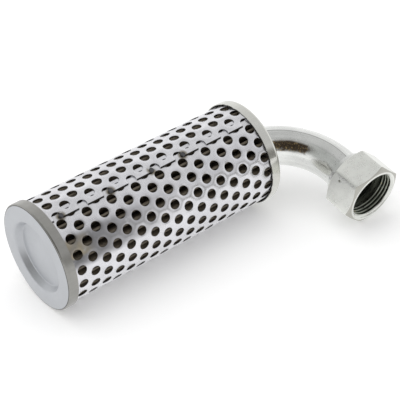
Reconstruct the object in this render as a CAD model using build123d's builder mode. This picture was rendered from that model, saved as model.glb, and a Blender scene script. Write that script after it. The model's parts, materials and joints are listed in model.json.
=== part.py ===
from build123d import *
from math import asin, atan2, cos, degrees, hypot, pi, radians, sin, sqrt, tan
import os

# Pleated suction filter: a perforated guard over a pleated mesh, a pressed cap on each end,
# and a bent tube with a swivel nut as its port.
# It lies on the rims of its two caps and on one corner of the nut.
# +X runs along the filter from the blind end to the port end, and +Z is up.
# The origin is the middle of the box round the filter, on the surface it lies on.
# Sizes are in millimetres, and angles are in degrees.

# End caps, pressed from sheet
body_length = 127.4
cap_radius = 27.25
cap_sheet = 0.5
blind_rim_width = 5.2
open_rim_width = 5.8
blind_corner_radius = 0.9
open_corner_radius = 1.8
recess_edge_radius = 18.3
recess_floor_radius = 16.0
recess_depth = 3.4
recess_top_bend = 1.6
recess_floor_bend = 0.8

# Guard, rolled from perforated sheet with lapped ends
guard_sheet = 0.5
lap_gap = 0.22
cap_to_guard = 0.03
guard_end_gap = 0.4
hole_width = 5.0
hole_pitch = 8.0
first_row = 9.0
seam_angle = -76.8
seam_overlap = 14.9
hole_to_sheet_end = 3.4
weld_places = (10.9, 38.6, 62.1, 80.8)
weld_set_back = 1.8
weld_radius = 1.2
weld_height = 0.25

# Pleated mesh and the slotted tube inside it
pleat_count = 36
pleat_mesh = 0.35
pleat_tip_width = 1.6
pleat_valley_width = 0.9
guard_to_pleats = 0.35
core_radius = 13.5
core_wall = 0.8
core_to_pleats = 0.3
slot_length = 40.0
slot_width = 5.0
slots_round = 6
slot_rows = 2
potting_depth = 4.1

# Bent tube
tube_radius = 10.0
tube_wall = 2.0
bend_radius = 35.35
bend_lead_in = 5.4
tube_inner_length = 2.0
tube_hole_gap = 0.7
bead_leg = 1.8

# Nipple with a 60 degree cone, set in from the nut's mouth
nipple_set_in = 8.5
nipple_cone_length = 2.3
nipple_neck_length = 5.7
nipple_socket_depth = 4.2
nipple_neck_radius = 11.6
nipple_cone_step = 0.46
cone_half_angle = 30.0
socket_gap = 0.05
braze_leg = 0.7

# Swivel nut with a 3/4 inch parallel pipe thread, 14 turns to the inch
port_reach = 62.0
nut_length = 17.4
nut_sides = 6
nut_across_flats = 30.0
nut_turn = 13.3
nut_chamfer_angle = 30.0
nut_face_share = 0.95
thread_minor_radius = 12.06
thread_major_radius = 13.22
thread_depth = 8.2
relief_width = 1.9
mouth_chamfer = 1.2
back_chamfer = 0.8
swivel_gap = 0.06

# Wire that holds the nut on the nipple
wire_radius = 0.7
wire_set_in = 11.8
wire_gap = 0.3
wire_hole_radius = 0.7
wire_hole_depth = 1.6
wire_hole_flat = 4
wire_hole_offset = 5.2

# Places along the filter and along the port, from the same sizes
guard_radius = cap_radius - cap_sheet - cap_to_guard - guard_sheet - lap_gap
bend_start = body_length - bend_lead_in
tube_inner_end = bend_start - tube_inner_length
thread_start = port_reach - thread_depth
relief_start = thread_start - relief_width
wire_place = port_reach - wire_set_in
nipple_front = port_reach - nipple_set_in
nipple_cone_start = nipple_front - nipple_cone_length
nipple_shoulder = nipple_cone_start - nipple_neck_length
nipple_back = nipple_shoulder - nipple_socket_depth

# How the filter lies: the rims and the nut's lowest corner touch the same surface
half_side = 180 / nut_sides
nut_corner_radius = nut_across_flats / 2 / cos(radians(half_side))
nut_face_radius = nut_across_flats / 2 * nut_face_share
corner_drop = (nut_corner_radius - nut_face_radius) * tan(radians(nut_chamfer_angle))
corner_reach = port_reach - corner_drop
corner_depth = nut_corner_radius * cos(radians(nut_turn))
port_dip = asin(cap_radius / hypot(corner_reach, corner_depth)) - atan2(corner_depth, corner_reach)
port_direction = Vector(0, -cos(port_dip), -sin(port_dip))
down_direction = Vector(0, sin(port_dip), -cos(port_dip))

port_x = bend_start + bend_radius
box_length = port_x + nut_corner_radius * cos(radians(half_side - nut_turn))
box_front = port_reach * cos(port_dip) + nut_face_radius * sin(port_dip)
axis_origin = Vector(-box_length / 2, (box_front - cap_radius) / 2, cap_radius)
port_origin = axis_origin + Vector(port_x, 0, 0)
nut_back = port_reach - nut_length

# The filter's cross-section has its x towards the port, and its long section has x along the filter
cross_section = Plane(origin=axis_origin, x_dir=port_direction, z_dir=(1, 0, 0))
long_section = Plane(origin=axis_origin, x_dir=(1, 0, 0), z_dir=down_direction)
port_section = Plane(origin=port_origin, x_dir=port_direction, z_dir=down_direction)
port_across = Plane(origin=port_origin, x_dir=down_direction, z_dir=port_direction)
filter_axis = Axis(axis_origin, (1, 0, 0))
port_axis = Axis(port_origin, port_direction)

# The sheet bends along each column of holes, half a pitch apart round the guard
half_pitch = hole_pitch / 2
columns_round = round(2 * pi * guard_radius / half_pitch)
column_step = 360 / columns_round
row_step = hole_pitch * sqrt(3)
first_column = seam_angle - seam_overlap + hole_to_sheet_end
sheet_start = seam_angle - seam_overlap
sheet_end = seam_angle + 360
columns = [k for k in range(2 * columns_round) if first_column + k * column_step < sheet_end]
lap_columns = [k for k in columns if k >= columns_round]
under_columns = [k - columns_round for k in lap_columns]
guard_start = blind_corner_radius + guard_end_gap
guard_end = body_length - open_corner_radius - guard_end_gap
hexagon_radius = hole_width / 2 * sqrt(2 * pi / (3 * sqrt(3)))
hole_reach = 2 * guard_sheet
edge_drop = hexagon_radius * cos(radians(30)) * tan(radians(column_step / 2))
layer_split = guard_radius + (lap_gap - edge_drop) / 2


def polar(radius, angle):
    return (radius * cos(radians(angle)), radius * sin(radians(angle)))


def sheet_edge(radius):
    """One face of the rolled sheet, from its inner end round to its lapped end."""
    lift = guard_sheet + lap_gap
    first_chord = first_column - column_step / 2
    last_chord = first_column + (columns[-1] + 0.5) * column_step
    flat_radius = cos(radians(column_step / 2))
    points = [polar(radius * flat_radius / cos(radians(sheet_start - first_chord)), sheet_start)]
    for k in columns:
        lifted = lift if k >= columns_round - 1 else 0
        points.append(polar(radius + lifted, first_column + k * column_step))
    end_radius = (radius + lift) * flat_radius / cos(radians(sheet_end - last_chord))
    return points + [polar(end_radius, sheet_end)]


def hole_planes(chosen, radius):
    """A plane square to the sheet at each hole of the chosen columns."""
    planes = []
    for k in chosen:
        angle = radians(first_column + k * column_step)
        outward = port_direction * cos(angle) + down_direction * sin(angle)
        x = first_row + (k % 2) * row_step / 2
        while x < guard_end - hole_width:
            planes.append(Plane(axis_origin + Vector(x, 0, 0) + outward * radius, (1, 0, 0), outward))
            x += row_step
    return planes


# The two layers are welded at cusps of the outer one's edge, and each weld goes halfway into the inner one
weld_angle = radians(seam_angle - weld_set_back)
weld_outward = port_direction * cos(weld_angle) + down_direction * sin(weld_angle)
weld_base = guard_radius - guard_sheet / 2
weld_top = guard_radius + lap_gap + guard_sheet + weld_height

with BuildPart() as guard_tack_welds:
    for place in weld_places:
        weld_foot = axis_origin + Vector(place, 0, 0) + weld_outward * weld_base
        with BuildSketch(Plane(weld_foot, (1, 0, 0), weld_outward)):
            Circle(weld_radius)
        extrude(amount=weld_top - weld_base)
guard_tack_welds.part.label = "guard_tack_welds"

# Each round hole is a hexagon of the same area, with a corner on the bend of the sheet
with BuildPart() as perforated_guard:
    with BuildSketch(cross_section.offset(guard_start)):
        with BuildLine():
            inner_face = sheet_edge(guard_radius - guard_sheet)
            Polyline(*sheet_edge(guard_radius), *reversed(inner_face), close=True)
        make_face()
    extrude(amount=guard_end - guard_start)
    single_columns = [k for k in columns if k not in lap_columns and k not in under_columns]
    with BuildSketch(*hole_planes(single_columns, guard_radius + hole_reach)):
        RegularPolygon(hexagon_radius, 6)
    extrude(amount=-2 * hole_reach, mode=Mode.SUBTRACT)
    with BuildSketch(*hole_planes(under_columns, layer_split)):
        RegularPolygon(hexagon_radius, 6)
    extrude(amount=-hole_reach, mode=Mode.SUBTRACT)
    with BuildSketch(*hole_planes(lap_columns, layer_split)):
        RegularPolygon(hexagon_radius, 6)
    extrude(amount=hole_reach, mode=Mode.SUBTRACT)
    add(guard_tack_welds.part, mode=Mode.SUBTRACT)
perforated_guard.part.label = "perforated_guard"

# Blind end: one pressed cup with a round recess in its face
with BuildPart() as blind_end_cap:
    with BuildSketch(long_section):
        with BuildLine():
            FilletPolyline(
                (blind_rim_width, cap_radius),
                (0, cap_radius),
                (0, recess_edge_radius),
                (recess_depth, recess_floor_radius),
                (recess_depth, 0),
                radius=[blind_corner_radius, recess_top_bend, recess_floor_bend],
            )
            offset(amount=cap_sheet, side=Side.LEFT)
        make_face()
    revolve(axis=filter_axis)
blind_end_cap.part.label = "blind_end_cap"

# Port end: a pressed cup with a hole for the bent tube
tube_hole_radius = tube_radius + tube_hole_gap
with BuildPart() as open_end_cap:
    with BuildSketch(long_section):
        with BuildLine():
            FilletPolyline(
                (body_length - open_rim_width, cap_radius),
                (body_length, cap_radius),
                (body_length, tube_hole_radius),
                radius=open_corner_radius,
            )
            offset(amount=cap_sheet, side=Side.RIGHT)
        make_face()
    revolve(axis=filter_axis)
open_end_cap.part.label = "open_end_cap"

# Pleated mesh, folded round the core tube and potted at both ends
blind_potting_end = cap_sheet + potting_depth
open_potting_start = body_length - cap_sheet - potting_depth
pleat_length = open_potting_start - blind_potting_end
guard_inside = (guard_radius - guard_sheet) * cos(radians(column_step / 2))
pleat_tip_radius = guard_inside - guard_to_pleats
pleat_valley_radius = core_radius + core_to_pleats
pleat_pitch = 360 / pleat_count
tip_angle = degrees(pleat_tip_width / 2 / pleat_tip_radius)
valley_angle = degrees(pleat_valley_width / 2 / pleat_valley_radius)

with BuildPart() as pleated_mesh:
    with BuildSketch(cross_section.offset(blind_potting_end)) as folds:
        with BuildLine():
            fold_points = []
            for k in range(pleat_count):
                tip = k * pleat_pitch
                valley = tip + pleat_pitch / 2
                fold_points += [
                    polar(pleat_tip_radius, tip - tip_angle),
                    polar(pleat_tip_radius, tip + tip_angle),
                    polar(pleat_valley_radius + pleat_mesh, valley - valley_angle),
                    polar(pleat_valley_radius + pleat_mesh, valley + valley_angle),
                ]
            Polyline(*fold_points, close=True)
        make_face()
        offset(folds.face(), amount=-pleat_mesh, kind=Kind.INTERSECTION, mode=Mode.SUBTRACT)
    extrude(amount=pleat_length)
pleated_mesh.part.label = "pleated_mesh"

# Core tube with rows of long slots
slot_spacing = pleat_length / slot_rows
with BuildPart() as core_tube:
    with BuildSketch(cross_section.offset(blind_potting_end)):
        Circle(core_radius)
        Circle(core_radius - core_wall, mode=Mode.SUBTRACT)
    extrude(amount=pleat_length)
    for row in range(slot_rows):
        slot_centre = blind_potting_end + (row + 0.5) * slot_spacing
        for k in range(slots_round):
            angle = radians(k * 360 / slots_round)
            outward = port_direction * cos(angle) + down_direction * sin(angle)
            with BuildSketch(Plane(axis_origin + Vector(slot_centre, 0, 0), (1, 0, 0), outward)):
                Rectangle(slot_length, slot_width)
            extrude(amount=core_radius + core_wall, mode=Mode.SUBTRACT)
core_tube.part.label = "core_tube"

# Potting rings that bond the mesh and the core tube into the caps
potting_radius = pleat_tip_radius
core_inside = core_radius - core_wall
with BuildPart() as blind_end_potting:
    with BuildSketch(long_section):
        with BuildLine():
            Polyline(
                (blind_potting_end, core_inside),
                (blind_potting_end, potting_radius),
                (cap_sheet, potting_radius),
                (cap_sheet, recess_edge_radius + recess_top_bend),
                (recess_depth + cap_sheet, recess_floor_radius + recess_top_bend),
                (recess_depth + cap_sheet, core_inside),
                close=True,
            )
        make_face()
    revolve(axis=filter_axis)
blind_end_potting.part.label = "blind_end_potting"

with BuildPart() as open_end_potting:
    with BuildSketch(cross_section.offset(open_potting_start)):
        Circle(potting_radius)
        Circle(core_inside, mode=Mode.SUBTRACT)
    extrude(amount=potting_depth)
open_end_potting.part.label = "open_end_potting"

# Tube, bent through a right angle from the cap to the nipple
def bent_tube_path():
    lead = Line((tube_inner_end, 0), (bend_start, 0))
    bend = JernArc(lead @ 1, lead % 1, bend_radius, 90)
    Line(bend @ 1, (port_x, nipple_shoulder))


with BuildPart() as elbow_tube:
    with BuildLine(long_section):
        bent_tube_path()
    with BuildSketch(cross_section.offset(tube_inner_end)):
        Circle(tube_radius)
        Circle(tube_radius - tube_wall, mode=Mode.SUBTRACT)
    sweep()
elbow_tube.part.label = "elbow_tube"

# Weld bead that joins the tube to its cap
with BuildPart() as elbow_weld_bead:
    with BuildSketch(long_section):
        with BuildLine():
            Polyline(
                (body_length, tube_radius - tube_wall / 2),
                (body_length, tube_hole_radius + bead_leg),
                (body_length + bead_leg, tube_radius + tube_hole_gap / 2),
                (body_length + bead_leg, tube_radius - tube_wall / 2),
                close=True,
            )
        make_face()
    revolve(axis=filter_axis)
    with BuildLine(long_section):
        bent_tube_path()
    with BuildSketch(cross_section.offset(tube_inner_end)):
        Circle(tube_radius)
    sweep(mode=Mode.SUBTRACT)
elbow_weld_bead.part.label = "elbow_weld_bead"

# Nipple on the end of the tube, with the cone that seals against the mating fitting
cone_drop = (nipple_front - nipple_cone_start) * tan(radians(cone_half_angle))
cone_base_radius = nipple_neck_radius - nipple_cone_step
socket_radius = tube_radius + socket_gap
bore_radius = tube_radius - tube_wall
with BuildPart() as cone_nipple:
    with BuildSketch(port_section):
        with BuildLine():
            Polyline(
                (nipple_back, socket_radius),
                (nipple_back, nipple_neck_radius),
                (nipple_cone_start, nipple_neck_radius),
                (nipple_cone_start, cone_base_radius),
                (nipple_front, cone_base_radius - cone_drop),
                (nipple_front, bore_radius),
                (nipple_shoulder, bore_radius),
                (nipple_shoulder, socket_radius),
                close=True,
            )
        make_face()
        with Locations((wire_place, nipple_neck_radius)):
            Circle(wire_radius, mode=Mode.SUBTRACT)
    revolve(axis=port_axis)
cone_nipple.part.label = "cone_nipple"

with BuildPart() as nipple_braze:
    with BuildSketch(port_section):
        with BuildLine():
            Polyline(
                (nipple_back, tube_radius),
                (nipple_back, tube_radius + 2 * braze_leg),
                (nipple_back - braze_leg, tube_radius),
                close=True,
            )
        make_face()
    revolve(axis=port_axis)
nipple_braze.part.label = "nipple_braze"

# Retaining wire, half in the nipple's groove and half in the nut's
with BuildPart() as nut_retaining_wire:
    with BuildSketch(port_section):
        with Locations((wire_place, nipple_neck_radius)):
            Circle(wire_radius)
    revolve(axis=port_axis)
nut_retaining_wire.part.label = "nut_retaining_wire"

# Swivel nut: a turned blank cut to a hexagon, bored for the nipple and for the thread
nut_bore_radius = nipple_neck_radius + swivel_gap
with BuildPart() as swivel_nut:
    with BuildSketch(port_across.offset(nut_back)):
        RegularPolygon(nut_corner_radius, nut_sides, rotation=-nut_turn)
    extrude(amount=nut_length)
    with BuildSketch(port_section):
        with BuildLine():
            Polyline(
                (nut_back, nut_bore_radius + back_chamfer),
                (nut_back, nut_face_radius),
                (nut_back + corner_drop, nut_corner_radius),
                (port_reach - corner_drop, nut_corner_radius),
                (port_reach, nut_face_radius),
                (port_reach, thread_minor_radius + mouth_chamfer),
                (port_reach - mouth_chamfer, thread_minor_radius),
                (thread_start, thread_minor_radius),
                (thread_start, thread_major_radius),
                (relief_start, thread_major_radius),
                (relief_start, nut_bore_radius),
                (nut_back + back_chamfer, nut_bore_radius),
                close=True,
            )
        make_face()
        with Locations((wire_place, nipple_neck_radius)):
            Circle(wire_radius + wire_gap, mode=Mode.SUBTRACT)
    revolve(axis=port_axis, mode=Mode.INTERSECT)
    flat_angle = radians((2 * wire_hole_flat + 1) * half_side - nut_turn)
    flat_outward = down_direction * cos(flat_angle) + Vector(1, 0, 0) * sin(flat_angle)
    flat_along = flat_outward.cross(port_direction)
    hole_centre = port_origin + port_direction * wire_place + flat_outward * nut_across_flats / 2
    with BuildSketch(Plane(hole_centre - flat_along * wire_hole_offset, port_direction, flat_outward)):
        Circle(wire_hole_radius)
    extrude(amount=-wire_hole_depth, mode=Mode.SUBTRACT)
swivel_nut.part.label = "swivel_nut"

os.makedirs("parts", exist_ok=True)
export_step(perforated_guard.part, "parts/perforated_guard.step")
export_step(guard_tack_welds.part, "parts/guard_tack_welds.step")
export_step(blind_end_cap.part, "parts/blind_end_cap.step")
export_step(open_end_cap.part, "parts/open_end_cap.step")
export_step(pleated_mesh.part, "parts/pleated_mesh.step")
export_step(core_tube.part, "parts/core_tube.step")
export_step(blind_end_potting.part, "parts/blind_end_potting.step")
export_step(open_end_potting.part, "parts/open_end_potting.step")
export_step(elbow_tube.part, "parts/elbow_tube.step")
export_step(elbow_weld_bead.part, "parts/elbow_weld_bead.step")
export_step(cone_nipple.part, "parts/cone_nipple.step")
export_step(nipple_braze.part, "parts/nipple_braze.step")
export_step(nut_retaining_wire.part, "parts/nut_retaining_wire.step")
export_step(swivel_nut.part, "parts/swivel_nut.step")
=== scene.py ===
import json
from math import cos, pi, radians, sin, tan

import bmesh
import bpy
from mathutils import Matrix, Vector, noise


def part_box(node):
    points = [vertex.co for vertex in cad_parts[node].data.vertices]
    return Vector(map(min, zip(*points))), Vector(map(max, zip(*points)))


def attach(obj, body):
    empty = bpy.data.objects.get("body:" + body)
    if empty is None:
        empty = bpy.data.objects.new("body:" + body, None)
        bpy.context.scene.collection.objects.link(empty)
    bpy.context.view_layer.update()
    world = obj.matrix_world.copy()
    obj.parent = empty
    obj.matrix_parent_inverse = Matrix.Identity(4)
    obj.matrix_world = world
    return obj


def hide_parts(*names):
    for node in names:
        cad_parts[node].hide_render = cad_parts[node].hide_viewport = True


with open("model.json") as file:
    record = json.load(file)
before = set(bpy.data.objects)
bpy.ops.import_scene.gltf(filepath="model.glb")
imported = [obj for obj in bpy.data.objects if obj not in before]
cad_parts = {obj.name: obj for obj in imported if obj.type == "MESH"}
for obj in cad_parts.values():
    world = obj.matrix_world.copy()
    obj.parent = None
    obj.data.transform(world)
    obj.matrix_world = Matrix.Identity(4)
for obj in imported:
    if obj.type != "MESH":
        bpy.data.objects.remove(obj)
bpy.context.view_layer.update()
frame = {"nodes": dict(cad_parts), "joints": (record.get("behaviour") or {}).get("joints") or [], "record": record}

bl_info = {
    "name": "Suction filter",
    "version": (1, 0, 0),
    "blender": (4, 5, 0),
    "location": "3D View > Sidebar > Filter",
    "description": "Builds a pleated suction filter with a perforated guard and a swivel nut",
    "category": "Object",
}

MM = 0.001

# The filter's axis starts at the blind end, and the port's axis is the nut's hinge
CAP_LOW, CAP_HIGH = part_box("blind_end_cap")
AXIS = Vector((CAP_LOW.x, (CAP_LOW.y + CAP_HIGH.y) / 2, (CAP_LOW.z + CAP_HIGH.z) / 2))
SWIVEL = next(joint for joint in frame["joints"] if joint["child"] == "nut")
PORT = Vector(SWIVEL["axis"])
DOWN = Vector((0, -PORT.z, PORT.y))
ALONG = Vector((1, 0, 0))
PORT_ORIGIN = AXIS + ALONG * (SWIVEL["pos_m"][0] - AXIS.x)
BEND_RADIUS = 35.35 * MM
CAP_FACE_REACH = 26.4 * MM
BEND_CENTRE = PORT_ORIGIN + (PORT - ALONG) * BEND_RADIUS

# How the holes lie in the sheet, in columns round it and rows along it
COLUMNS_ROUND = 41
COLUMN_STEP = 2 * pi / COLUMNS_ROUND
SEAM_ANGLE = radians(-76.8)
FIRST_COLUMN = radians(-88.3)
SHEET_START = radians(-88.9)
SHEET_END = SEAM_ANGLE + 2 * pi
FIRST_ROW = 9.0 * MM
LAP_LIFT = 0.72 * MM
LAP_RAMP_START = COLUMNS_ROUND - 2
RIM_SIDES = 30
ROWS = 10
ROW_STEP = 8.0 * MM * 3 ** 0.5
SCALLOP_REACH = 2.3 * MM

# The nut, with all lengths measured along the port's axis from the filter's axis
NUT_SIDES = 6
NUT_TURN = radians(13.3)
NUT_FRONT = 62.0 * MM
NUT_LENGTH = 17.4 * MM
NUT_BACK = NUT_FRONT - NUT_LENGTH
NUT_BORE = 11.66 * MM
FACE_SHARE = 0.95
CHAMFER_SLOPE = tan(radians(30))
MOUTH_CHAMFER = 1.2 * MM
THREAD_START = 53.8 * MM
RELIEF_START = 51.9 * MM
WIRE_PLACE = 50.2 * MM
WIRE_HOLE_FLAT = 4
WIRE_HOLE_OFFSET = 5.2 * MM
WIRE_HOLE_RADIUS = 0.7 * MM
WIRE_HOLE_DEPTH = 1.6 * MM
NUT_STEPS = 192
TURN_STEPS = 14
EDGE_ROUND = 0.25 * MM
CORNER_EASE = 0.4
BACK_CHAMFER = 0.8 * MM
CONE_SHARES = (0.3, 0.6, 0.93)
FLAT_SHARES = (0.0, 0.02, 0.2, 0.4, 0.6, 0.8, 0.98, 1.0)
RING_PITCH = 0.9 * MM

# The camera stands where the photograph's camera stood
CAMERA_PLACE = Vector((-0.3160, -0.4259, 0.4290))
CAMERA_FORWARD = Vector((0.47074, 0.64261, -0.60453))
CAMERA_UP = Vector((0.41100, 0.44658, 0.79476))
CAMERA_LENS = 123.7
CAMERA_SENSOR = 36.0

# How near two corners lie to be made one, and how near a corner counts as on a cut
SOLID_MERGE = 0.002 * MM
NUT_MERGE = 0.004 * MM
TREE_MERGE = 0.01 * MM
TRIM_TOLERANCE = 0.001 * MM

# The folded mesh
PLEAT_STEPS = 20
PLEAT_ROWS = 9
TIP_CLEARANCE = 0.05 * MM
CORE_CLEARANCE = 0.65 * MM
CLOTH_THICKNESS = 0.35 * MM
VALLEY_RADIUS = 14 * MM
WIRE_SPACING = 0.30 * MM

# How far and how finely a weld's surface is run and frozen, and the gap that parts two welds
WELD_LUMP = 0.22 * MM
WELD_GRAIN = 1.1 / MM
WELD_SPACING = 4.0 * MM

# Where a finish changes: from and to, as angles round a piece or as distances
# Some of these spans place painted light: the reflection band on the guard, painted shade on the caps' rim line
# and wall, the reflected band and line on the tube, and where the bore's painted shade fades out
REFLECTION_BAND_ROUND = radians(-50), radians(-27)
REFLECTION_BAND_ALONG = 10 * MM, 78 * MM
GILT_ROUND = radians(-52), radians(-36)
GILT_ALONG = 9 * MM, 20 * MM
SCORCH_REACH = 1.5 * MM, 3.1 * MM
RIM_LINE = 26.45 * MM, 26.75 * MM
RIM_LINE_ALONG = 0.9 * MM, 1.3 * MM
RIM_WALL = 26.8 * MM, 26.95 * MM
TARNISH_BEND = radians(10), radians(65)
TARNISH_ROUND = radians(-149), radians(-126)
TUBE_REFLECTED_LINE = radians(-87.5), radians(-86)
TUBE_REFLECTED_BAND = radians(-116), radians(-88)
MOUTH_SHADE_FADE = 60.4 * MM, 61.3 * MM

# Tones that belong to one place of a finish
# Several of these tones are painted light or shade: the seam and gap shade, the bore's shade and light, and the
# nipple's shaded rings
SEAM_SHADOW_AND_GRIME = (0.05, 0.045, 0.04)
GAP_SHADE = (0.03, 0.028, 0.025)
TUBE_GILT = (0.62, 0.47, 0.24)
BORE_GILT_HIGHLIGHT = (0.60, 0.50, 0.24)
BORE_ROOT_SHADE = (0.10, 0.11, 0.085)
BORE_CREST_LIGHT = (0.40, 0.42, 0.36)
CONE_DULL = (0.42, 0.41, 0.37)
RING_SHADE_LOW = (0.07, 0.075, 0.06)
RING_SHADE_HIGH = (0.30, 0.32, 0.27)
CORE_GREY = (0.4, 0.4, 0.4)
WIRE_GREY = (0.5, 0.5, 0.5)

# The stage: its floor, its light and the room that the metal mirrors
FLOOR_WIDTH = 6.0
FLOOR_LIFT = 0.15
FLOOR_IN_METAL = 0.6
FLOOR_TONES = (0.93, 0.93, 0.93), (0.95, 0.95, 0.95)
WORLD_FILL = 0.76
OVERHEAD_DIM = 0.26
LAMPS = (
    ("overhead", (-0.15, 0.25, 1.10), 1.6, 5.0),
    ("left", (-1.10, -0.10, 0.60), 1.2, 2.2),
)
# Where the room is darker in a reflection: towards what, from and to how many degrees, and its tone
ROOM_SHADES = (
    ((-0.67, 0.14, 0.72), 14, 44, (0.44, 0.45, 0.44)),
    ((0.47, -0.61, 0.64), 8, 32, (0.68, 0.68, 0.69)),
    ((0.47, -0.87, 0.10), 6, 18, (0.25, 0.245, 0.23)),
    ((-0.47, -0.64, 0.60), 14, 46, (0.07, 0.06, 0.05)),
)
WHITE = (1.0, 1.0, 1.0)


class Signal:
    """A node's output that adds Math nodes when it is used in an expression."""

    def __init__(self, tree, socket):
        self.tree = tree
        self.socket = socket

    def output(self, name):
        return Signal(self.tree, self.socket.node.outputs[name])

    def math(self, operation, *others, first=None):
        start = self if first is None else first
        values = dict(enumerate((start, *others)))
        return self.tree.add("ShaderNodeMath", {"operation": operation}, values)

    def __add__(self, other):
        return self.math("ADD", other)

    def __sub__(self, other):
        return self.math("SUBTRACT", other)

    def __mul__(self, other):
        return self.math("MULTIPLY", other)

    def __truediv__(self, other):
        return self.math("DIVIDE", other)

    def __mod__(self, other):
        return self.math("FLOORED_MODULO", other)

    def __pow__(self, other):
        return self.math("POWER", other)

    def __gt__(self, other):
        return self.math("GREATER_THAN", other)

    def __lt__(self, other):
        return self.math("LESS_THAN", other)

    def __rsub__(self, other):
        return self.math("SUBTRACT", self, first=other)

    def __rtruediv__(self, other):
        return self.math("DIVIDE", self, first=other)

    __radd__ = __add__
    __rmul__ = __mul__

    def between(self, low, high):
        """0 at low and 1 at high, held outside them and smooth between them."""
        settings = {"interpolation_type": "SMOOTHSTEP"}
        values = {"Value": self, "From Min": low, "From Max": high}
        return self.tree.add("ShaderNodeMapRange", settings, values)

    def band(self, low, high, soft):
        return self.between(low - soft, low) * (1 - self.between(high, high + soft))


class Tree:
    """A node tree, for a material or for geometry, that is written as expressions."""

    def __init__(self, tree):
        self.tree = tree

    def add(self, kind, settings=None, values=None, out=0):
        node = self.tree.nodes.new(kind)
        for name, value in (settings or {}).items():
            if name == "stops":
                self.set_stops(node.color_ramp, value)
            else:
                setattr(node, name, value)
        for name, value in (values or {}).items():
            self.feed(node.inputs[name], value)
        return Signal(self, node.outputs[out]) if node.outputs else node

    def feed(self, socket, value):
        if isinstance(value, Signal):
            self.tree.links.new(value.socket, socket)
        else:
            socket.default_value = value

    def mix(self, share, low, high):
        """A colour from low at 0 to high at 1."""
        node = self.tree.nodes.new("ShaderNodeMix")
        node.data_type = "RGBA"
        self.feed(node.inputs["Factor"], share)
        for socket, colour in ((node.inputs[6], low), (node.inputs[7], high)):
            self.feed(socket, colour if isinstance(colour, Signal) else (*colour[:3], 1.0))
        return Signal(self, node.outputs[2])

    @staticmethod
    def set_stops(ramp, stops):
        while len(ramp.elements) < len(stops):
            ramp.elements.new(1.0)
        for element, (place, colour) in zip(ramp.elements, stops):
            element.position = place
            element.color = (*colour, 1.0)


class Finish(Tree):
    """A procedural material whose patterns read Object coordinates, in metres."""

    def __init__(self, name):
        self.material = bpy.data.materials.new(name)
        self.material.use_nodes = True
        super().__init__(self.material.node_tree)
        self.tree.nodes.clear()
        self.output = self.add("ShaderNodeOutputMaterial")
        self.shader = self.add("ShaderNodeBsdfPrincipled")
        self.feed(self.output.inputs["Surface"], self.shader)
        self.place = self.add("ShaderNodeTexCoord").output("Object")

    def set(self, **values):
        for name, value in values.items():
            self.feed(self.shader.socket.node.inputs[name.replace("_", " ")], value)

    def centred(self, centre):
        """Coordinates measured from a centre, with X along the filter and Z along the port."""
        moved = self.add("ShaderNodeVectorMath", {"operation": "SUBTRACT"},
                         {0: self.place, 1: tuple(centre)})
        return self.add("ShaderNodeMapping", None, {"Vector": moved, "Rotation": turned_to_port()})

    def parts(self, vector):
        split = self.add("ShaderNodeSeparateXYZ", None, {"Vector": vector})
        return split.output("X"), split.output("Y"), split.output("Z")

    def noise(self, scale, detail=3.0, roughness=0.5, stretch=(1.0, 1.0, 1.0), vector=None):
        stretched = self.add("ShaderNodeMapping", None,
                             {"Vector": vector or self.place, "Scale": stretch})
        values = {"Vector": stretched, "Scale": scale, "Detail": detail, "Roughness": roughness}
        return self.add("ShaderNodeTexNoise", None, values)

    def near(self, centres, inner, outer):
        """1 within the inner distance of any of the centres, and 0 past the outer one."""
        mask = 0.0
        for centre in centres:
            values = {0: self.place, 1: tuple(centre)}
            gap = self.add("ShaderNodeVectorMath", {"operation": "DISTANCE"}, values, "Value")
            mask = (1 - gap.between(inner, outer)).math("MAXIMUM", mask)
        return mask

    def bump(self, height, strength, distance):
        values = {"Height": height, "Strength": strength, "Distance": distance}
        self.set(Normal=self.add("ShaderNodeBump", None, values))


def mirrored(tree):
    """1 where the stage is seen in a reflection or through something clear, and 0 elsewhere."""
    path = tree.add("ShaderNodeLightPath")
    return path.output("Is Glossy Ray").math("MAXIMUM", path.output("Is Transmission Ray"))


def seen_or_mirrored(tree):
    """1 where the stage is seen by the camera or in a reflection, and 0 where it only gives light."""
    seen = tree.add("ShaderNodeLightPath").output("Is Camera Ray")
    return mirrored(tree).math("MAXIMUM", seen)


def shade(colour, share):
    return tuple(value * share for value in colour[:3])


def turned_to_port():
    """The turn that gives X along the filter, Z along the port and Y up, for a Mapping node."""
    return tuple(Matrix((ALONG, -DOWN, PORT)).to_euler("XYZ"))


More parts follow.
